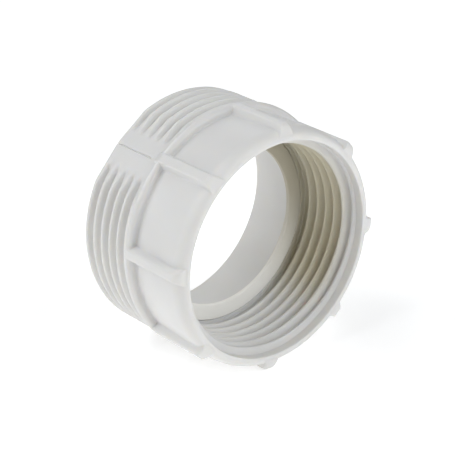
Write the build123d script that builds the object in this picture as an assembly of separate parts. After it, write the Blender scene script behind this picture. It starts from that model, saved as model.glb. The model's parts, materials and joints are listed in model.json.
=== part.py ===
"""Plastic reducing coupler: a male pipe thread at one end and a larger-bodied female socket at the other.

The fitting lies on its side.  Its axis is the row's X axis and the socket's mouth opens towards +X.
The body is drawn standing up, with its axis on local Z and the mouth's face at Z = 0, and is then laid down.
Millimetres and degrees throughout.
"""
from build123d import *
from math import cos, radians, sin, tan
import os

# ---------------------------------------------------------------- pipe threads
# Parallel pipe thread, 11 turns to the inch, 55 degree form.
PITCH = 25.4 / 11
FLANK_ANGLE = 27.5
MALE_MAJOR_R = 47.50 / 2      # G 1 1/2 outside thread, 47.44 to 47.80 across
MALE_MINOR_R = 44.85 / 2
SOCKET_MAJOR_R = 41.91 / 2    # G 1 1/4 inside thread
SOCKET_MINOR_R = 38.95 / 2
THREAD_FLAT = 0.385           # width of the flat crest and of the flat root
CUTTER_OVERLAP = 0.3          # how far a groove cutter stands clear of the crest it opens
BAR_ALLOWANCE = 0.2           # how much wider than its crests the male bar is before it is trimmed

# ---------------------------------------------------------------- axial places, from the mouth's face
LENGTH = 29.4
SHOULDER_Z = -13.6            # step between the ribbed body and the male end
COLLAR_END_Z = -14.9          # from here the collar slopes down into the thread at 45 degrees
MALE_GROOVE_END_Z = -15.6     # centre of the male groove where it stops
COUNTERBORE_DEPTH = 1.8
LEAD_IN_END_Z = -2.8
POCKET_Z = -14.3              # relief pocket between the socket's thread and the ledge
LEDGE_Z = -15.4               # ring face round the washer, just below the washer's face
SEAT_Z = -16.1                # bottom of the recess that the washer lies in
WEB_BACK_Z = -17.3
WEB_LAND = 0.2                # straight part of the hole through the web

# ---------------------------------------------------------------- radii
BODY_R_MOUTH = 23.2
BODY_R_SHOULDER = 22.6
COLLAR_R = 24.2
SHOULDER_ROUND = 1.1
RIM_ROUND_LENGTH = 2.5
RIM_ROUND_DEPTH = 1.6
COUNTERBORE_R = 21.05
POCKET_R = 21.0
RECESS_R = 19.3
SEAT_HOLE_R = 16.4
WEB_CHAMFER = 1.0             # how much the hole widens behind its straight part
BORE_R = 20.0
BORE_FILLET = 1.8
BORE_EDGE_ROUND = 0.4
END_CHAMFER = 2.0

# ---------------------------------------------------------------- grip ribs
RIB_COUNT = 8
FIRST_RIB_ANGLE = -3.5
RIB_TOP_R = 24.35
RIB_ROOT_R = 21.9
RIB_BASE_WIDTH = 3.8
RIB_TOP_WIDTH = 2.0
RIB_TOP_ROUND = 0.7
RIB_BACK_Z = -16.0
RIB_TAIL_Z = -13.6            # where the top starts to slope down to the back end
RIB_TAIL_SLOPE = 0.345
RIB_FRONT_Z = -1.3            # where the front end starts to round down
RIB_FRONT_LENGTH = 1.25
RIB_FRONT_DROP = 2.4

# ---------------------------------------------------------------- parting-line patches on the male thread
PARTING_ANGLES = (132.0, -48.0)
PATCH_R = 23.15               # height of the flat that takes down the crests, over the axis
PATCH_FILL_R = 24.2           # height of the bulge that fills the grooves, at the parting line
PATCH_HALF_ANGLE = 17.0       # where the bulge has sunk to the thread's root

# ---------------------------------------------------------------- where the crests pass
MALE_CREST = (173.0, -20.2)   # angle and height of a point on the male crest
SOCKET_CREST = (-70.0, -11.4)  # angle and height of a point on the socket's crest
SOCKET_GROOVE_START_Z = -15.38

# ---------------------------------------------------------------- sealing washer
WASHER_THICKNESS = 0.8
WASHER_OUTER_R = 19.15
WASHER_INNER_R = 16.1
WASHER_EDGE_ROUND = 0.15

UNDER = (Align.CENTER, Align.CENTER, Align.MAX)
OVER = (Align.CENTER, Align.CENTER, Align.MIN)
LAID_DOWN = Plane(origin=(0, 0, 0), x_dir=(0, 1, 0), z_dir=(1, 0, 0)).location


def turned(outline):
    """Solid of revolution about Z from a closed wire drawn in the XZ plane."""
    return revolve(make_face(outline), axis=Axis.Z)


def groove_centre_at(crest, angle):
    """Height of the centre of the groove above the crest point, where it passes an angle."""
    crest_angle, crest_z = crest
    return crest_z + PITCH / 2 + PITCH * (angle - crest_angle) / 360


def groove_angle_at(crest, height):
    """Angle at which the groove's centre passes a height."""
    return (height - groove_centre_at(crest, 0)) / PITCH * 360


def helical_groove(root_r, mouth_r, start_z, end_z, crest):
    """Cutter for one thread groove: narrow at root_r, wide at mouth_r, right-handed."""
    middle_r = (root_r + mouth_r) / 2
    root_half = THREAD_FLAT / 2
    mouth_half = root_half + abs(mouth_r - root_r) * tan(radians(FLANK_ANGLE))
    path = Helix(pitch=PITCH, height=end_z - start_z, radius=middle_r)
    section_plane = Plane(origin=path @ 0, x_dir=(1, 0, 0), z_dir=path % 0)
    section = make_face(Polyline(
        (root_r - middle_r, -root_half),
        (mouth_r - middle_r, -mouth_half),
        (mouth_r - middle_r, mouth_half),
        (root_r - middle_r, root_half),
        close=True))
    cutter = sweep(section_plane * section, path=path, is_frenet=True)
    return Pos(0, 0, start_z) * Rot(0, 0, groove_angle_at(crest, start_z)) * cutter


def patch_fill(angle):
    """Bulge that a parting-line patch leaves standing in the thread's grooves."""
    edge_x = MALE_MINOR_R * cos(radians(PATCH_HALF_ANGLE))
    edge_y = MALE_MINOR_R * sin(radians(PATCH_HALF_ANGLE))
    offset = (PATCH_FILL_R ** 2 - edge_x ** 2 - edge_y ** 2) / (2 * (PATCH_FILL_R - edge_x))
    bulge = Cylinder(PATCH_FILL_R - offset, 2 * LENGTH)
    return Rot(0, 0, angle) * Pos(offset, 0, -LENGTH) * bulge


def patch_flat(angle):
    """Block that takes the crests and the end chamfer down to the smooth patch."""
    outside_r = 2 * MALE_MAJOR_R
    outline = Plane.XZ * Polyline(
        (PATCH_R, SHOULDER_Z - SHOULDER_ROUND),
        (outside_r, SHOULDER_Z - SHOULDER_ROUND),
        (outside_r, -LENGTH - 1),
        (PATCH_R - END_CHAMFER - 1, -LENGTH - 1),
        (PATCH_R, -LENGTH + END_CHAMFER),
        close=True)
    return Rot(0, 0, angle) * extrude(make_face(outline), MALE_MAJOR_R, both=True)


def male_envelope():
    """Outside of the male end before its thread is cut: crests and chamfered end."""
    return turned(Plane.XZ * Polyline(
        (0, SHOULDER_Z),
        (MALE_MAJOR_R, SHOULDER_Z),
        (MALE_MAJOR_R, -LENGTH + END_CHAMFER),
        (MALE_MAJOR_R - END_CHAMFER, -LENGTH),
        (0, -LENGTH),
        close=True))


def collar():
    """Plain collar between the ribbed body and the thread, where the grooves run out."""
    ring = turned(Plane.XZ * Polyline(
        (0, SHOULDER_Z),
        (COLLAR_R, SHOULDER_Z),
        (COLLAR_R, COLLAR_END_Z),
        (MALE_MINOR_R - 1, COLLAR_END_Z - (COLLAR_R - MALE_MINOR_R) - 1),
        (0, COLLAR_END_Z - (COLLAR_R - MALE_MINOR_R) - 1),
        close=True))
    step_edge = ring.edges().filter_by(GeomType.CIRCLE).sort_by(Axis.Z)[-1]
    return fillet(step_edge, SHOULDER_ROUND)


def male_end():
    """Solid male end: a threaded bar trimmed to its envelope, with its collar."""
    groove = helical_groove(MALE_MINOR_R, MALE_MAJOR_R + CUTTER_OVERLAP,
                            -LENGTH - PITCH, MALE_GROOVE_END_Z, MALE_CREST)
    for angle in PARTING_ANGLES:
        groove -= patch_fill(angle)
    bar_r = MALE_MAJOR_R + BAR_ALLOWANCE
    bar = Pos(0, 0, SHOULDER_Z) * Cylinder(bar_r, LENGTH + SHOULDER_Z, align=UNDER)
    end = ((bar - groove) & male_envelope()) + collar()
    for angle in PARTING_ANGLES:
        end -= patch_flat(angle)
    return end


def ribbed_body():
    """Solid body of the socket end, with its rounded rim."""
    rim_centre = (BODY_R_MOUTH - RIM_ROUND_DEPTH, -RIM_ROUND_LENGTH)
    outline = Polyline(
        (BODY_R_MOUTH, -RIM_ROUND_LENGTH),
        (BODY_R_SHOULDER, SHOULDER_Z),
        (0, SHOULDER_Z),
        (0, 0),
        (BODY_R_MOUTH - RIM_ROUND_DEPTH, 0))
    outline += EllipticalCenterArc(rim_centre, RIM_ROUND_DEPTH, RIM_ROUND_LENGTH, arc_size=90)
    return turned(Plane.XZ * outline)


def rib_outline():
    """Side view of a rib: a straight top, a tail that slopes down at the back and a rounded front end."""
    tail_r = RIB_TOP_R - RIB_TAIL_SLOPE * (RIB_TAIL_Z - RIB_BACK_Z)
    front_centre = (RIB_TOP_R - RIB_FRONT_DROP, RIB_FRONT_Z)
    inside_r = RIB_ROOT_R - RIB_FRONT_DROP
    outline = Polyline(
        (RIB_TOP_R, RIB_FRONT_Z),
        (RIB_TOP_R, RIB_TAIL_Z),
        (tail_r, RIB_BACK_Z),
        (inside_r, RIB_BACK_Z),
        (inside_r, RIB_FRONT_Z + RIB_FRONT_LENGTH),
        (RIB_TOP_R - RIB_FRONT_DROP, RIB_FRONT_Z + RIB_FRONT_LENGTH))
    outline += EllipticalCenterArc(front_centre, RIB_FRONT_DROP, RIB_FRONT_LENGTH, arc_size=90)
    return Plane.XZ * outline


def grip_rib():
    """One grip rib on local +X: a bar with rounded top edges, trimmed to its side view."""
    half_base = RIB_BASE_WIDTH / 2
    half_top = RIB_TOP_WIDTH / 2
    section = make_face(Polyline(
        (RIB_ROOT_R, -half_base),
        (RIB_TOP_R, -half_top),
        (RIB_TOP_R, half_top),
        (RIB_ROOT_R, half_base),
        close=True))
    bar = Pos(0, 0, RIB_BACK_Z - 1) * extrude(section, 1 - RIB_BACK_Z)
    top_edges = bar.edges().filter_by(Axis.Z).group_by(Axis.X)[-1]
    bar = fillet(top_edges, RIB_TOP_ROUND)
    return bar & extrude(make_face(rib_outline()), RIB_BASE_WIDTH, both=True)


def bore_void():
    """Everything open inside the body, apart from the socket's thread groove."""
    outline = Polyline(
        (0, 1),
        (COUNTERBORE_R, 1),
        (COUNTERBORE_R, -COUNTERBORE_DEPTH),
        (SOCKET_MINOR_R, LEAD_IN_END_Z),
        (SOCKET_MINOR_R, POCKET_Z),
        (POCKET_R, POCKET_Z),
        (POCKET_R, LEDGE_Z),
        (RECESS_R, LEDGE_Z),
        (RECESS_R, SEAT_Z),
        (SEAT_HOLE_R, SEAT_Z),
        (SEAT_HOLE_R, SEAT_Z - WEB_LAND),
        (SEAT_HOLE_R + WEB_CHAMFER, WEB_BACK_Z),
        (BORE_R, WEB_BACK_Z),
        (BORE_R, -LENGTH),
        (0, -LENGTH),
        close=True)
    void = turned(Plane.XZ * outline)
    web_corner = [edge for edge in void.edges().filter_by(GeomType.CIRCLE)
                  if abs(edge.radius - BORE_R) < 0.01 and abs(edge.center().Z - WEB_BACK_Z) < 0.01]
    return fillet(web_corner, BORE_FILLET)


def socket_thread_void():
    """A threaded rod, as long as the socket's thread, that opens the thread in the bore."""
    rod = Pos(0, 0, POCKET_Z) * Cylinder(SOCKET_MINOR_R, -POCKET_Z, align=OVER)
    groove = helical_groove(SOCKET_MAJOR_R, SOCKET_MINOR_R - CUTTER_OVERLAP,
                            SOCKET_GROOVE_START_Z, 0, SOCKET_CREST)
    return rod + groove


def adaptor_body():
    """The one-piece moulding."""
    body = male_end() + ribbed_body()
    for index in range(RIB_COUNT):
        body += Rot(0, 0, FIRST_RIB_ANGLE + index * 360 / RIB_COUNT) * grip_rib()
    body -= bore_void()
    bore_edge = [edge for edge in body.edges().filter_by(GeomType.CIRCLE)
                 if abs(edge.radius - BORE_R) < 0.01 and abs(edge.center().Z + LENGTH) < 0.01]
    body = fillet(bore_edge, BORE_EDGE_ROUND)
    return body - socket_thread_void()


def sealing_washer():
    """Flat ring that lies in the recess."""
    ring = Cylinder(WASHER_OUTER_R, WASHER_THICKNESS) - Cylinder(WASHER_INNER_R, WASHER_THICKNESS)
    ring = fillet(ring.edges().filter_by(GeomType.CIRCLE), WASHER_EDGE_ROUND)
    return Pos(0, 0, SEAT_Z + WASHER_THICKNESS / 2) * ring


PARTS = {
    "adaptor_body": adaptor_body,
    "sealing_washer": sealing_washer,
}

os.makedirs("parts", exist_ok=True)
for name, make in PARTS.items():
    export_step(LAID_DOWN * make(), f"parts/{name}.step")
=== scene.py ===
"""Looks of a moulded plastic reducing coupler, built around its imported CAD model.

The coupler lies on its side: its axis is the X axis and its socket opens towards +X.  Angles run round the
axis, from +Y towards +Z.  Shapes are worked out in millimetres and degrees, and meshes are made in metres.
"""
import json
import math

import bpy
import numpy as np
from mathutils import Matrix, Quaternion, Vector


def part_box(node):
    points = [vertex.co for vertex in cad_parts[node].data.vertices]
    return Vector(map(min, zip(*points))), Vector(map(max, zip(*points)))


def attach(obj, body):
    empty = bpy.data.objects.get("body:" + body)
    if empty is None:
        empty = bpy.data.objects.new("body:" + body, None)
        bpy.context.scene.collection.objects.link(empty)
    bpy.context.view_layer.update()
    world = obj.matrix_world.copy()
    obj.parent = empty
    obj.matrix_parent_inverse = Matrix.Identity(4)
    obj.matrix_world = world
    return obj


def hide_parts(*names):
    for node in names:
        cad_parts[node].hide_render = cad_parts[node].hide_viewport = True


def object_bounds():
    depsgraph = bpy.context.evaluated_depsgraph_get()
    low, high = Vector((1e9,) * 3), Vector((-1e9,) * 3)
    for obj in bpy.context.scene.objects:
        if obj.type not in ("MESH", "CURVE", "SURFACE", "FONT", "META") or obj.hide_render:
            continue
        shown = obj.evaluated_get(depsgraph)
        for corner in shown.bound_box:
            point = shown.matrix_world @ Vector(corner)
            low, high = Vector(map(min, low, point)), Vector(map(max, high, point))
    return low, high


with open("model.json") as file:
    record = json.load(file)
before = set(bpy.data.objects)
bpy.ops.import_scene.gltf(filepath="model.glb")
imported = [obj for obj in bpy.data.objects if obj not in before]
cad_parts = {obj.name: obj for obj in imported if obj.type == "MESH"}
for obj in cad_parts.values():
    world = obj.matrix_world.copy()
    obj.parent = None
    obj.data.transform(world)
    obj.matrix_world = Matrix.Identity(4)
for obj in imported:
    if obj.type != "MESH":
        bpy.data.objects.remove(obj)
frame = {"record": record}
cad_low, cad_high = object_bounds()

MM = 0.001
MOUNTS = {mount["name"]: mount for mount in frame["record"]["mounts"]}
BODY_LOW, BODY_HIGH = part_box("adaptor_body")
WASHER_LOW, WASHER_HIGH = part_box("sealing_washer")


def wall_radius(name):
    """Radius of a round mount's wall."""
    return MOUNTS[name]["dims"]["r_mm"]


# ---------------------------------------------------------------- pipe threads
PITCH = 25.4 / 11
FLANK_ANGLE = 27.5
THREAD_DEPTH = 1.478
MALE_ROUND = 0.4                 # how softly the male thread's crests and roots are rounded
SOCKET_ROUND = 0.32              # and the socket's
MALE_CREST_R = wall_radius("male_thread")
MALE_FULL_R = 23.9               # crest radius of the full thread form, which the crests are cut back from
SOCKET_CREST_R = wall_radius("socket_thread")
MALE_CREST = (173.0, -20.2)      # angle and X of a point on the male crest
SOCKET_CREST = (-70.0, -11.4)    # angle and X of a point on the socket's crest
RUN_OUT_START_X = -17.0          # the male groove is full depth up to here
RUN_OUT_END_X = -15.2            # and has faded out here

# ---------------------------------------------------------------- places along the axis
BACK_X = BODY_LOW.x / MM
MOUTH_X = BODY_HIGH.x / MM
SHOULDER_X = -13.6
COUNTERBORE_X = -MOUNTS["socket_mouth"]["dims"]["length_mm"]
SOCKET_THREAD_X = MOUNTS["socket_thread"]["pos_m"][0] / MM
SOCKET_THREAD_OVERRUN = 0.72     # how far the socket's thread runs on past its mount
POCKET_X = SOCKET_THREAD_X - MOUNTS["socket_thread"]["dims"]["length_mm"] - SOCKET_THREAD_OVERRUN
LEDGE_X = -15.4                  # the ring round the washer, just behind its face
SEAT_X = WASHER_LOW.x / MM
WEB_BACK_X = -17.3

# ---------------------------------------------------------------- outside of the body
BODY_R_MOUTH = 23.2
BODY_R_SHOULDER = 22.6
SHOULDER_ROUND = 1.1
SHOULDER_FILLET = 0.3
COLLAR_R = 24.2                  # top of the plain collar between the shoulder and the thread
COLLAR_END_X = -14.9             # from here it slopes down into the thread
RIM_LENGTH = 2.5
RIM_DEPTH = 1.6
END_CHAMFER = 2.0
CORNER_BLEND = 0.3

# ---------------------------------------------------------------- inside
COUNTERBORE_R = wall_radius("socket_mouth")
LEAD_IN_STEP = 0.15              # small step from the counterbore to the lead-in cone
LEAD_IN_R = COUNTERBORE_R - LEAD_IN_STEP
MOUTH_EDGE_ROUND = 0.15
POCKET_R = 20.2                  # relief between the thread and the ledge
POCKET_ROUND = 0.15
RECESS_R = 19.3
RECESS_ROUND = 0.1
SEAT_HOLE_R = 16.4
SEAT_HOLE_ROUND = 0.15
WEB_LAND = 0.2
WEB_CHAMFER = 1.0
BORE_R = wall_radius("male_end_bore")
BORE_FILLET = 1.8
BORE_EDGE_ROUND = 0.4

# ---------------------------------------------------------------- grip ribs
RIB_COUNT = 8
FIRST_RIB_ANGLE = -3.5
RIB_SECTOR = 360 / RIB_COUNT
RIB_TOP_R = 24.35
RIB_ROOT_R = 21.9
RIB_ROOT_HALF_WIDTH = 1.9
RIB_SIDE_STEEPNESS = 2.5
RIB_TOP_BLEND = 0.45
RIB_FOOT_BLEND = 0.3
RIB_FRONT_X = -1.3               # where the front end starts to round down
RIB_FRONT_LENGTH = 1.25
RIB_FRONT_DROP = 2.4
RIB_TAIL_X = -14.0               # where the tail starts to sink into the thread
RIB_TAIL_STEEPNESS = 0.33
RIB_BACK_X = -15.6               # and where it ends
RIB_BACK_STEEPNESS = 2.5

# ---------------------------------------------------------------- parting line and the patches beside it
PARTING_ANGLES = (133.0, -47.0)
PATCH_DISTANCE = 23.02           # of each flat from the axis
PATCH_TILT = 6.0                 # of each flat's normal from the parting line's
PATCH_FLAT_LIMIT = 60.0          # the flats are followed no further round than this
PATCH_SOLID_ANGLE = 4.0          # no groove shows nearer the parting line
PATCH_FADE_ANGLE = 11.0          # and the grooves are whole this much further on
PATCH_EDGE_ANGLE = 6.0           # further on still, the patch has given way to the plain thread
PATCH_EDGE_FADE_ANGLE = 4.0      # over the last of that
SEAM_WIDTH = 0.26
SEAM_DEPTH = 0.30
SEAM_END_X = -17.2
SEAM_END_FADE = 0.4

# ---------------------------------------------------------------- washer
WASHER_OUTER_R = WASHER_HIGH.z / MM
WASHER_INNER_R = 16.1
WASHER_FRONT_X = WASHER_HIGH.x / MM
WASHER_ROUND = 0.15

# ---------------------------------------------------------------- mesh columns and rows
RIB_ZONE_HALF_ANGLE = 6.5        # columns are close together this far to each side of a rib's middle
RIB_COLUMNS = 26
GAP_COLUMNS = 20
PARTING_OFFSETS = (-0.6, -0.35, -0.2, -0.1, 0.0, 0.1, 0.2, 0.35, 0.6)
LEAST_COLUMN_ANGLE = 0.05
WASHER_COLUMNS = 180
ROW_PLACES = (-0.5, -0.44, -0.38, -0.25, -0.12, -0.06, 0.0, 0.06, 0.12, 0.25, 0.38, 0.44)  # in pitches
GRID_PER_MM = 1e4                # points are rounded to this grid, so that those that meet are one


# ================================================================ shapes
def smooth_min(a, b, blend):
    """Smaller of two values, with the corner where they cross rounded over about blend."""
    share = np.clip(0.5 + 0.5 * (b - a) / blend, 0, 1)
    return b + (a - b) * share - blend * share * (1 - share)


def smooth_max(a, b, blend):
    """Larger of two values, with the corner where they cross rounded over about blend."""
    return -smooth_min(-a, -b, blend)


def smooth_step(t):
    """0 up to t = 0, 1 from t = 1, and an even S between."""
    t = np.clip(t, 0, 1)
    return t * t * (3 - 2 * t)


def turn_between(angle, centre):
    """Signed angle from centre, between -180 and 180."""
    return (angle - centre + 180) % 360 - 180


def turns_from_crest(x, angle, crest):
    """Distance along the axis from the nearest thread crest, in pitches, between -0.5 and 0.5."""
    crest_angle, crest_x = crest
    turns = (x - crest_x) / PITCH - (angle - crest_angle) / 360
    return turns - np.round(turns)


def thread_height(x, angle, crest, rounding):
    """Height of the rounded 55 degree thread form above its root."""
    from_crest = np.abs(turns_from_crest(x, angle, crest)) * PITCH
    flank = THREAD_DEPTH / 2 + (PITCH / 4 - from_crest) / math.tan(math.radians(FLANK_ANGLE))
    return smooth_max(smooth_min(flank, THREAD_DEPTH, rounding), 0, rounding)


def groove_x(x, angle, crest):
    """Where along the axis the centre of the nearest groove runs."""
    from_crest = turns_from_crest(x, angle, crest)
    to_groove = np.where(from_crest > 0, 0.5, -0.5) - from_crest
    return x + to_groove * PITCH


def rib_radius(x, angle):
    """Radius of the nearest grip rib's surface, which is below the body away from the ribs."""
    offset = turn_between(angle * RIB_COUNT, FIRST_RIB_ANGLE * RIB_COUNT) / RIB_COUNT
    across = np.abs(np.radians(offset)) * RIB_TOP_R
    side = RIB_ROOT_R + (RIB_ROOT_HALF_WIDTH - across) * RIB_SIDE_STEEPNESS
    front = np.clip((x - RIB_FRONT_X) / RIB_FRONT_LENGTH, 0, 1)
    top = RIB_TOP_R - RIB_FRONT_DROP * (1 - np.sqrt(1 - front ** 2))
    top = top - np.maximum(RIB_TAIL_X - x, 0) * RIB_TAIL_STEEPNESS
    top = top - np.maximum(RIB_BACK_X - x, 0) * RIB_BACK_STEEPNESS
    return smooth_min(side, top, RIB_TOP_BLEND)


def chamfer_drop(x):
    """How far the end chamfer has taken the crests down."""
    return np.maximum(BACK_X + END_CHAMFER - x, 0)


def with_patch(radius, x, angle, parting):
    """Thread surface with a patch: crests taken down to two flats at the parting line, grooves filled."""
    turn = np.abs(turn_between(angle, parting))
    fade = smooth_step((turn - PATCH_SOLID_ANGLE) / PATCH_FADE_ANGLE)
    filled = smooth_max(radius, MALE_CREST_R - THREAD_DEPTH * fade, MALE_ROUND)
    flat = PATCH_DISTANCE / np.cos(np.radians(np.minimum(turn - PATCH_TILT, PATCH_FLAT_LIMIT)))
    patched = smooth_min(filled, flat - chamfer_drop(x), CORNER_BLEND)
    edge = PATCH_SOLID_ANGLE + PATCH_FADE_ANGLE + PATCH_EDGE_ANGLE
    near = smooth_step((edge - turn) / PATCH_EDGE_FADE_ANGLE)
    return radius + (patched - radius) * near


def seam_groove(x, angle):
    """Depth of the fine line that the mould's halves leave along the patches."""
    depth = 0
    for parting in PARTING_ANGLES:
        across = np.radians(turn_between(angle, parting)) * PATCH_DISTANCE
        depth = depth + SEAM_DEPTH * np.exp(-(across / (SEAM_WIDTH / 2)) ** 2)
    return depth * smooth_step((SEAM_END_X - x) / SEAM_END_FADE)


def male_radius(x, angle):
    """Outside of the male end, from its chamfered end to the shoulder's round."""
    sunk = THREAD_DEPTH - thread_height(x, angle, MALE_CREST, MALE_ROUND)
    run_out = (RUN_OUT_END_X - groove_x(x, angle, MALE_CREST)) / (RUN_OUT_END_X - RUN_OUT_START_X)
    radius = smooth_min(MALE_FULL_R - sunk * smooth_step(run_out), MALE_CREST_R, CORNER_BLEND)
    collar = np.minimum(COLLAR_R + x - COLLAR_END_X, COLLAR_R)
    radius = smooth_max(radius, collar, CORNER_BLEND)
    for parting in PARTING_ANGLES:
        radius = with_patch(radius, x, angle, parting)
    radius = radius - seam_groove(x, angle)
    chamfer = MALE_CREST_R - END_CHAMFER + (x - BACK_X)
    radius = smooth_min(radius, chamfer, CORNER_BLEND)
    return smooth_max(radius, rib_radius(x, angle), RIB_FOOT_BLEND)


def socket_radius(x, angle):
    """Wall of the socket, from its lead-in to the relief pocket."""
    threaded = SOCKET_CREST_R + THREAD_DEPTH - thread_height(x, angle, SOCKET_CREST, SOCKET_ROUND)
    slope = (LEAD_IN_R - SOCKET_CREST_R) / (COUNTERBORE_X - SOCKET_THREAD_X)
    lead_in = SOCKET_CREST_R + (x - SOCKET_THREAD_X) * slope
    return smooth_max(threaded, lead_in, SOCKET_ROUND)


# ================================================================ meshes
def arc(centre, radii, start, end, steps):
    """Points (x, radius) of an arc, where 0 degrees points along +X and 90 away from the axis."""
    turn = np.radians(np.linspace(start, end, steps + 1))
    return [(centre[0] + radii[0] * math.cos(t), centre[1] + radii[1] * math.sin(t)) for t in turn]


def straight(start, end, steps):
    """Points (x, radius) evenly along a line."""
    share = np.linspace(0, 1, steps + 1)
    return [(start[0] + (end[0] - start[0]) * s, start[1] + (end[1] - start[1]) * s) for s in share]


def ring_rows(outline, angles, over=None):
    """Rows of points round the axis, one for each point of the outline.  over(x, angle) may raise them."""
    x = np.array([[p[0]] for p in outline]) + 0 * angles
    radius = np.array([[p[1]] for p in outline]) + 0 * angles
    if over:
        radius = smooth_max(radius, over(x, angles), RIB_FOOT_BLEND)
    return x, radius, 0


def thread_rows(start_x, end_x, angles, crest, surface):
    """Rows that follow a thread's helix from start_x to end_x, held at those two places.

    Each row climbs one pitch in a turn, so the last column joins the first one row of the next turn on.
    """
    low_x, high_x = min(start_x, end_x), max(start_x, end_x)
    crest_angle, crest_x = crest
    crest_at_0 = crest_x - PITCH * crest_angle / 360
    first = math.floor((low_x - crest_at_0) / PITCH) - 2
    last = math.ceil((high_x - crest_at_0) / PITCH) + 1
    at_0 = [crest_at_0 + PITCH * (turn + place) for turn in range(first, last + 1) for place in ROW_PLACES]
    x = np.clip(np.array(at_0)[:, None] + PITCH * angles / 360, low_x, high_x)
    radius = surface(x, angles)
    shift = len(ROW_PLACES)
    if start_x > end_x:
        return x[::-1], radius[::-1], -shift
    return x, radius, shift


def closed_mesh(name, blocks, angles):
    """One closed mesh round the axis from blocks of rows, where each block starts on the last one's end.

    Points that meet become one.  Where a quad's corners have met, it is a triangle or nothing.
    """
    columns = len(angles)
    keys, quads, base = [], [], 0
    for x, radius, shift in blocks:
        rows = len(x)
        column = np.broadcast_to(np.arange(columns), x.shape)
        places = [column, np.round(x * GRID_PER_MM), np.round(radius * GRID_PER_MM)]
        keys.append(np.stack(places, axis=2).reshape(-1, 3))
        row, col = np.meshgrid(np.arange(rows - 1), np.arange(columns), indexing="ij")
        next_col = (col + 1) % columns
        wrapped = np.where(col == columns - 1, shift, 0)
        here, there = np.clip(row + wrapped, 0, rows - 1), np.clip(row + 1 + wrapped, 0, rows - 1)
        corners = [row * columns + col, here * columns + next_col,
                   there * columns + next_col, (row + 1) * columns + col]
        quads.append(base + np.stack(corners, axis=2).reshape(-1, 4))
        base += rows * columns
    points, index = np.unique(np.concatenate(keys), axis=0, return_inverse=True)
    quads = index.reshape(-1)[np.concatenate(quads)]
    turn = np.radians(angles[points[:, 0].astype(int)])
    x, radius = points[:, 1] / GRID_PER_MM * MM, points[:, 2] / GRID_PER_MM * MM
    vertices = np.stack([x, radius * np.cos(turn), radius * np.sin(turn)], axis=1)
    faces = []
    for quad in quads.tolist():
        face = [v for i, v in enumerate(quad) if v != quad[i - 1]]
        if len(face) > 2:
            faces.append(face)
    mesh = bpy.data.meshes.new(name)
    mesh.from_pydata(vertices.tolist(), [], faces)
    mesh.validate()
    mesh.shade_smooth()
    piece = bpy.data.objects.new(name, mesh)
    bpy.context.collection.objects.link(piece)
    return piece


def body_angles():
    """Angles of the body's columns: close together over the ribs and at the parting lines."""
    angles = []
    for index in range(RIB_COUNT):
        centre = FIRST_RIB_ANGLE + index * RIB_SECTOR
        start, end = centre - RIB_ZONE_HALF_ANGLE, centre + RIB_ZONE_HALF_ANGLE
        angles += list(np.linspace(start, end, RIB_COLUMNS + 1)[:-1])
        angles += list(np.linspace(end, start + RIB_SECTOR, GAP_COLUMNS + 1)[:-1])
    for parting in PARTING_ANGLES:
        angles += [parting + offset for offset in PARTING_OFFSETS]
    angles = np.sort(np.array(angles) % 360)
    return angles[np.append(np.diff(angles) > LEAST_COLUMN_ANGLE, True)]


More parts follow.
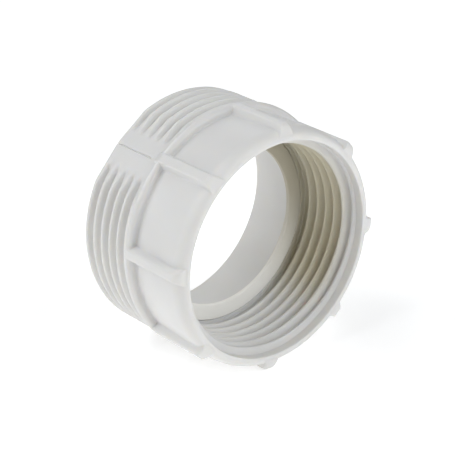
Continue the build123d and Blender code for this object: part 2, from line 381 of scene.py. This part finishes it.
def coupler_body():
    """The one-piece moulding: one closed surface that goes along the outside and back along the inside.

    The small distances beside the corners place rows of points there, which keeps the shading crisp.
    """
    angles = body_angles()
    body_slope = (BODY_R_MOUTH - BODY_R_SHOULDER) / (MOUTH_X - RIM_LENGTH - SHOULDER_X)
    round_centre = (SHOULDER_X - SHOULDER_ROUND, COLLAR_R - SHOULDER_ROUND)
    fillet_centre = (SHOULDER_X + SHOULDER_FILLET,
                     BODY_R_SHOULDER + SHOULDER_FILLET + body_slope * SHOULDER_FILLET)
    rim_centre = (MOUTH_X - RIM_LENGTH, BODY_R_MOUTH - RIM_DEPTH)
    outside = (
        arc(round_centre, (SHOULDER_ROUND, SHOULDER_ROUND), 90, 12, 8)
        + arc(fillet_centre, (SHOULDER_FILLET, SHOULDER_FILLET), 180, 270, 4)
        + straight((SHOULDER_X + 2 * SHOULDER_FILLET, BODY_R_SHOULDER + 2 * SHOULDER_FILLET * body_slope),
                   (MOUTH_X - RIM_LENGTH, BODY_R_MOUTH), 12)
        + arc(rim_centre, (RIM_LENGTH, RIM_DEPTH), 88, 0, 18))
    mouth = (
        arc((MOUTH_X - MOUTH_EDGE_ROUND, COUNTERBORE_R + MOUTH_EDGE_ROUND),
            (MOUTH_EDGE_ROUND, -MOUTH_EDGE_ROUND), 0, 90, 3)
        + straight((MOUTH_X - 0.4, COUNTERBORE_R), (COUNTERBORE_X + 0.2, COUNTERBORE_R), 3)
        + [(COUNTERBORE_X + 0.05, COUNTERBORE_R - 0.03)])
    inside = (
        [(POCKET_X - 0.04, POCKET_R - POCKET_ROUND)]
        + arc((POCKET_X - POCKET_ROUND, POCKET_R - POCKET_ROUND), (POCKET_ROUND, POCKET_ROUND), 60, 90, 2)
        + arc((LEDGE_X + POCKET_ROUND, POCKET_R - POCKET_ROUND), (-POCKET_ROUND, POCKET_ROUND), 90, 0, 4)
        + straight((LEDGE_X, POCKET_R - POCKET_ROUND - 0.2), (LEDGE_X, RECESS_R + RECESS_ROUND + 0.1), 3)
        + arc((LEDGE_X - RECESS_ROUND, RECESS_R + RECESS_ROUND), (RECESS_ROUND, -RECESS_ROUND), 0, 90, 3)
        + straight((LEDGE_X - 0.2, RECESS_R), (SEAT_X + 0.1, RECESS_R), 2)
        + straight((SEAT_X, RECESS_R - 0.1), (SEAT_X, SEAT_HOLE_R + SEAT_HOLE_ROUND + 0.1), 3)
        + arc((SEAT_X - SEAT_HOLE_ROUND, SEAT_HOLE_R + SEAT_HOLE_ROUND),
              (SEAT_HOLE_ROUND, -SEAT_HOLE_ROUND), 0, 90, 3)
        + straight((SEAT_X - WEB_LAND, SEAT_HOLE_R + 0.1),
                   (WEB_BACK_X + 0.1, SEAT_HOLE_R + WEB_CHAMFER - 0.1), 3)
        + [(WEB_BACK_X, SEAT_HOLE_R + WEB_CHAMFER + 0.1)]
        + arc((WEB_BACK_X - BORE_FILLET, BORE_R - BORE_FILLET), (BORE_FILLET, BORE_FILLET), 0, 90, 8)
        + straight((WEB_BACK_X - BORE_FILLET - 0.5, BORE_R), (BACK_X + BORE_EDGE_ROUND + 0.3, BORE_R), 6)
        + arc((BACK_X + BORE_EDGE_ROUND, BORE_R + BORE_EDGE_ROUND),
              (-BORE_EDGE_ROUND, -BORE_EDGE_ROUND), 90, 0, 4)
        + straight((BACK_X, BORE_R + BORE_EDGE_ROUND + 0.2), (BACK_X, BORE_R + BORE_EDGE_ROUND + 0.6), 1))
    blocks = [
        thread_rows(BACK_X, round_centre[0], angles, MALE_CREST, male_radius),
        ring_rows(outside, angles, rib_radius),
        ring_rows(mouth, angles),
        thread_rows(COUNTERBORE_X, POCKET_X, angles, SOCKET_CREST, socket_radius),
        ring_rows(inside, angles)]
    return closed_mesh("coupler_body", joined(blocks), angles)


def joined(blocks):
    """The same blocks, each starting with the row that the one before it ends with, round to the first."""
    linked = []
    for index, (x, radius, shift) in enumerate(blocks):
        if shift == 0:
            before, after = blocks[index - 1], blocks[(index + 1) % len(blocks)]
            x = np.concatenate([before[0][-1:], x, after[0][:1]])
            radius = np.concatenate([before[1][-1:], radius, after[1][:1]])
        linked.append((x, radius, shift))
    return linked


def washer():
    """Flat sealing ring with softly rounded edges."""
    angles = np.linspace(0, 360, WASHER_COLUMNS + 1)[:-1]
    low_x, high_x, inner, outer, edge = SEAT_X, WASHER_FRONT_X, WASHER_INNER_R, WASHER_OUTER_R, WASHER_ROUND
    outline = (
        arc((high_x - edge, outer - edge), (edge, edge), 90, 0, 5)
        + straight((high_x, outer - edge - 0.3), (high_x, inner + edge + 0.3), 4)
        + arc((high_x - edge, inner + edge), (edge, -edge), 0, 90, 5)
        + arc((low_x + edge, inner + edge), (-edge, -edge), 90, 0, 5)
        + straight((low_x, inner + edge + 0.3), (low_x, outer - edge - 0.3), 4)
        + arc((low_x + edge, outer - edge), (-edge, edge), 0, 90, 5))
    outline = outline + outline[:1]
    return closed_mesh("sealing_ring", [ring_rows(outline, angles)], angles)


# ================================================================ materials
NOISE_LOW, NOISE_HIGH = 0.3, 0.7      # the span of noise that a mix or a roughness follows
BUMP_STRENGTH = 0.5
SIDE_SHARE = 0.5                      # how much a place's Y adds to its height in a lean

# The plastic.  Noise scales are in waves to the metre, and bump distances in metres.
PLASTIC_COLOURS = ((0.70, 0.695, 0.683), (0.725, 0.72, 0.708))
# painted shade: a dark, warm colour for the shade deep in the socket
PLASTIC_PAINTED_SHADE_COLOUR = (0.62, 0.58, 0.455)
PLASTIC_ROUGHNESS = (0.40, 0.50)
PLASTIC_IOR = 1.49
SCATTER_WEIGHT = 0.3
SCATTER_RADIUS = (0.0024, 0.0020, 0.0013)
CLOUD_SCALE, SHINE_SCALE, WAVE_SCALE, GRAIN_SCALE = 90, 260, 140, 5200
WAVE_HEIGHT, GRAIN_HEIGHT = 0.00006, 0.000006
PAINTED_SHADE_WITHIN_R = (21.3, 20.9)          # painted shade deep in the socket comes in between these radii,
PAINTED_SHADE_FROM_MOUTH_X = (-2.0, -6.0)      # between these places from the mouth inwards,
PAINTED_SHADE_TO_WEB_X = (-20.0, -17.0)        # again from behind the web,
PAINTED_SHADE_LEAN = (-15.0, -2.0)             # and from the bottom up

# The washer.
RUBBER_COLOURS = ((0.92, 0.91, 0.87), (0.94, 0.93, 0.89))
# painted shade: a dark, warm colour painted on the washer's upper side
RUBBER_PAINTED_SHADE_COLOUR = (0.52, 0.485, 0.39)
RUBBER_ROUGHNESS = (0.55, 0.68)
RUBBER_PAINTED_SHADE_LEAN = (-12.0, 14.0)           # painted shade on the washer's upper side comes in between these
RUBBER_CLOUD_SCALE, RUBBER_SHINE_SCALE, RUBBER_GRAIN_SCALE = 150, 700, 3600
RUBBER_GRAIN_HEIGHT = 0.00001

FLOOR_COLOUR = (0.95, 0.95, 0.95)
FLOOR_ROUGHNESS = 0.9
FLOOR_GLOW = 0.38                     # lifts the floor to white


def new_material(name):
    """A node material and its Principled shader."""
    material = bpy.data.materials.new(name)
    material.use_nodes = True
    return material, material.node_tree, material.node_tree.nodes["Principled BSDF"]


def own_place(tree):
    """The object's own coordinates."""
    return tree.nodes.new("ShaderNodeTexCoord").outputs["Object"]


def noise(tree, scale, detail=2.0):
    """Noise over the object's own coordinates.  scale is in waves to the metre."""
    texture = tree.nodes.new("ShaderNodeTexNoise")
    texture.inputs["Scale"].default_value = scale
    texture.inputs["Detail"].default_value = detail
    tree.links.new(own_place(tree), texture.inputs["Vector"])
    return texture.outputs["Fac"]


def between(tree, value, low, high):
    """Noise mapped to low to high."""
    span = tree.nodes.new("ShaderNodeMapRange")
    span.inputs["From Min"].default_value = NOISE_LOW
    span.inputs["From Max"].default_value = NOISE_HIGH
    span.inputs["To Min"].default_value = low
    span.inputs["To Max"].default_value = high
    tree.links.new(value, span.inputs["Value"])
    return span.outputs["Result"]


def blended(tree, share, one, other):
    """Colour one where share is 0, other where it is 1."""
    mix = tree.nodes.new("ShaderNodeMix")
    mix.data_type = "RGBA"
    for socket, colour in (("A", one), ("B", other)):
        if isinstance(colour, tuple):
            mix.inputs[socket].default_value = (*colour, 1)
        else:
            tree.links.new(colour, mix.inputs[socket])
    tree.links.new(share, mix.inputs["Factor"])
    return mix.outputs["Result"]


def bumped(tree, height, distance, below=None):
    """A bump normal from a height, on top of another bump if given."""
    bump = tree.nodes.new("ShaderNodeBump")
    bump.inputs["Distance"].default_value = distance
    bump.inputs["Strength"].default_value = BUMP_STRENGTH
    tree.links.new(height, bump.inputs["Height"])
    if below:
        tree.links.new(below, bump.inputs["Normal"])
    return bump.outputs["Normal"]


def ramp(tree, value, start, end):
    """0 where value is at start, 1 where it is at end, and an even S between."""
    span = tree.nodes.new("ShaderNodeMapRange")
    span.interpolation_type = "SMOOTHSTEP"
    span.inputs["From Min"].default_value = start
    span.inputs["From Max"].default_value = end
    tree.links.new(value, span.inputs["Value"])
    return span.outputs["Result"]


def combined(tree, operation, one, other):
    """Result of a maths node on two values."""
    maths = tree.nodes.new("ShaderNodeMath")
    maths.operation = operation
    tree.links.new(one, maths.inputs[0])
    tree.links.new(other, maths.inputs[1])
    return maths.outputs["Value"]


def separated(tree):
    """Node with the X, Y and Z of the object's own coordinates."""
    apart = tree.nodes.new("ShaderNodeSeparateXYZ")
    tree.links.new(own_place(tree), apart.inputs["Vector"])
    return apart


def lean(tree, apart):
    """Height, with the +Y side counted as higher."""
    maths = tree.nodes.new("ShaderNodeMath")
    maths.operation = "MULTIPLY_ADD"
    tree.links.new(apart.outputs["Y"], maths.inputs[0])
    maths.inputs[1].default_value = SIDE_SHARE
    tree.links.new(apart.outputs["Z"], maths.inputs[2])
    return maths.outputs["Value"]


def painted_shade_share(tree):
    """1 deep in the socket's sides and top, where a darker, warmer colour is painted on as shade, and 0
    elsewhere.
    """
    apart = separated(tree)
    square_y = combined(tree, "MULTIPLY", apart.outputs["Y"], apart.outputs["Y"])
    square_z = combined(tree, "MULTIPLY", apart.outputs["Z"], apart.outputs["Z"])
    square = combined(tree, "ADD", square_y, square_z)
    share = ramp(tree, square, *((radius * MM) ** 2 for radius in PAINTED_SHADE_WITHIN_R))
    for value, ends in ((apart.outputs["X"], PAINTED_SHADE_FROM_MOUTH_X),
                        (apart.outputs["X"], PAINTED_SHADE_TO_WEB_X),
                        (lean(tree, apart), PAINTED_SHADE_LEAN)):
        share = combined(tree, "MULTIPLY", share, ramp(tree, value, ends[0] * MM, ends[1] * MM))
    return share


def moulded_plastic():
    """Off-white polypropylene: satin, faintly uneven from the mould, a little translucent, and with painted
    shade deep in the socket.
    """
    material, tree, shader = new_material("moulded_plastic")
    cloud = noise(tree, CLOUD_SCALE, detail=3)
    outside = blended(tree, between(tree, cloud, 0, 1), *PLASTIC_COLOURS)
    # Painted shade: the socket's inside, most of all its upper side, is painted darker and warmer.
    colour = blended(tree, painted_shade_share(tree), outside, PLASTIC_PAINTED_SHADE_COLOUR)
    tree.links.new(colour, shader.inputs["Base Color"])
    tree.links.new(between(tree, noise(tree, SHINE_SCALE), *PLASTIC_ROUGHNESS), shader.inputs["Roughness"])
    waves = bumped(tree, noise(tree, WAVE_SCALE), WAVE_HEIGHT)
    grain = bumped(tree, noise(tree, GRAIN_SCALE), GRAIN_HEIGHT, below=waves)
    tree.links.new(grain, shader.inputs["Normal"])
    shader.inputs["IOR"].default_value = PLASTIC_IOR
    shader.inputs["Subsurface Weight"].default_value = SCATTER_WEIGHT
    shader.inputs["Subsurface Radius"].default_value = SCATTER_RADIUS
    shader.inputs["Subsurface Scale"].default_value = 1.0
    return material


def washer_rubber():
    """Cream elastomer, matt, with a fine grain, and with painted shade on its upper side."""
    material, tree, shader = new_material("washer_rubber")
    cloud = noise(tree, RUBBER_CLOUD_SCALE, detail=3)
    lower = blended(tree, between(tree, cloud, 0, 1), *RUBBER_COLOURS)
    # Painted shade: the washer's upper side is painted darker and warmer.
    painted_shade_upper = ramp(tree, lean(tree, separated(tree)), *(end * MM for end in RUBBER_PAINTED_SHADE_LEAN))
    tree.links.new(blended(tree, painted_shade_upper, lower, RUBBER_PAINTED_SHADE_COLOUR), shader.inputs["Base Color"])
    shine = between(tree, noise(tree, RUBBER_SHINE_SCALE), *RUBBER_ROUGHNESS)
    tree.links.new(shine, shader.inputs["Roughness"])
    grain = bumped(tree, noise(tree, RUBBER_GRAIN_SCALE), RUBBER_GRAIN_HEIGHT)
    tree.links.new(grain, shader.inputs["Normal"])
    return material


def floor_material():
    """Plain white studio floor."""
    material, tree, shader = new_material("studio_floor")
    shader.inputs["Base Color"].default_value = (*FLOOR_COLOUR, 1)
    shader.inputs["Roughness"].default_value = FLOOR_ROUGHNESS
    shader.inputs["Specular IOR Level"].default_value = 0.0
    shader.inputs["Emission Color"].default_value = (1, 1, 1, 1)
    shader.inputs["Emission Strength"].default_value = FLOOR_GLOW
    return material


# ================================================================ stage
FLOOR_HALF = 3.0                 # in metres, as are the lamps' two sizes
LAMP_DISTANCE = 0.7
LAMP_SIZE = 0.35
LAMP_COLOUR = (0.97, 0.985, 1.0)
LIGHT = 1.02                     # all the lamps' powers are multiplied by this
LAMPS = (                        # name, azimuth, elevation, power in watts
    ("left_high", 350, 55, 1.58),
    ("left_low", 320, 20, 1.08),
    ("front_low", 5, 20, 0.3),
    ("right_high", 110, 50, 1.4),
    ("right_low", 95, 20, 1.12),
    ("right_side", 140, 20, 0.6),
    ("back_low", 230, 25, 0.6),
    ("back_high", 290, 55, 0.85))
CAMERA_PLACE = (228.44, -207.56, 143.09)
CAMERA_AZIMUTH = 49.50           # and elevation, of the direction that the camera looks back along
CAMERA_ELEVATION = 24.205
CAMERA_ROLL = 0.25
CAMERA_LENS = 147.48
CAMERA_SENSOR = 36.0
CAMERA_SHIFT = (-0.0007, 0.0028)


def backwards(azimuth, elevation):
    """Direction from the object towards a lamp or camera.  Azimuth 0 is the -Y side and 90 the +X side."""
    turn, rise = math.radians(azimuth), math.radians(elevation)
    return Vector((math.sin(turn) * math.cos(rise), -math.cos(turn) * math.cos(rise), math.sin(rise)))


def soft_box(name, azimuth, elevation, power):
    """Square area lamp that looks at the object's middle."""
    middle = (cad_low + cad_high) / 2
    data = bpy.data.lights.new(name, "AREA")
    data.size = LAMP_SIZE
    data.energy = power * LIGHT
    data.color = LAMP_COLOUR
    lamp = bpy.data.objects.new(name, data)
    lamp.location = middle + LAMP_DISTANCE * backwards(azimuth, elevation)
    lamp.rotation_euler = (middle - lamp.location).to_track_quat("-Z", "Y").to_euler()
    bpy.context.collection.objects.link(lamp)


def studio():
    """Floor, dark world and soft boxes."""
    mesh = bpy.data.meshes.new("studio_floor")
    corners = [(x * FLOOR_HALF, y * FLOOR_HALF, 0) for x, y in ((-1, -1), (1, -1), (1, 1), (-1, 1))]
    mesh.from_pydata(corners, [], [(0, 1, 2, 3)])
    mesh.materials.append(floor_material())
    floor = bpy.data.objects.new("studio_floor", mesh)
    floor.location.z = cad_low.z
    bpy.context.collection.objects.link(floor)
    world = bpy.data.worlds.new("studio_world")
    world.use_nodes = True
    world.node_tree.nodes["Background"].inputs["Strength"].default_value = 0.0
    bpy.context.scene.world = world
    for lamp in LAMPS:
        soft_box(*lamp)


def photo_camera():
    """Camera that looks into the socket from above and from the -Y side."""
    data = bpy.data.cameras.new("camera")
    data.lens = CAMERA_LENS
    data.sensor_width = CAMERA_SENSOR
    data.shift_x, data.shift_y = CAMERA_SHIFT
    data.clip_start = 0.01
    camera = bpy.data.objects.new("camera", data)
    camera.location = Vector(CAMERA_PLACE) * MM
    level = backwards(CAMERA_AZIMUTH, CAMERA_ELEVATION).to_track_quat("Z", "Y")
    camera.rotation_euler = (level @ Quaternion((0, 0, 1), math.radians(CAMERA_ROLL))).to_euler()
    bpy.context.collection.objects.link(camera)
    bpy.context.scene.camera = camera


# ================================================================ making
photo_camera()
studio()
bpy.context.scene.view_settings.view_transform = "Standard"

body = coupler_body()
body.data.materials.append(moulded_plastic())
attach(body, "coupler")
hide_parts("adaptor_body")

ring = washer()
ring.data.materials.append(washer_rubber())
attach(ring, "washer")
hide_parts("sealing_washer")
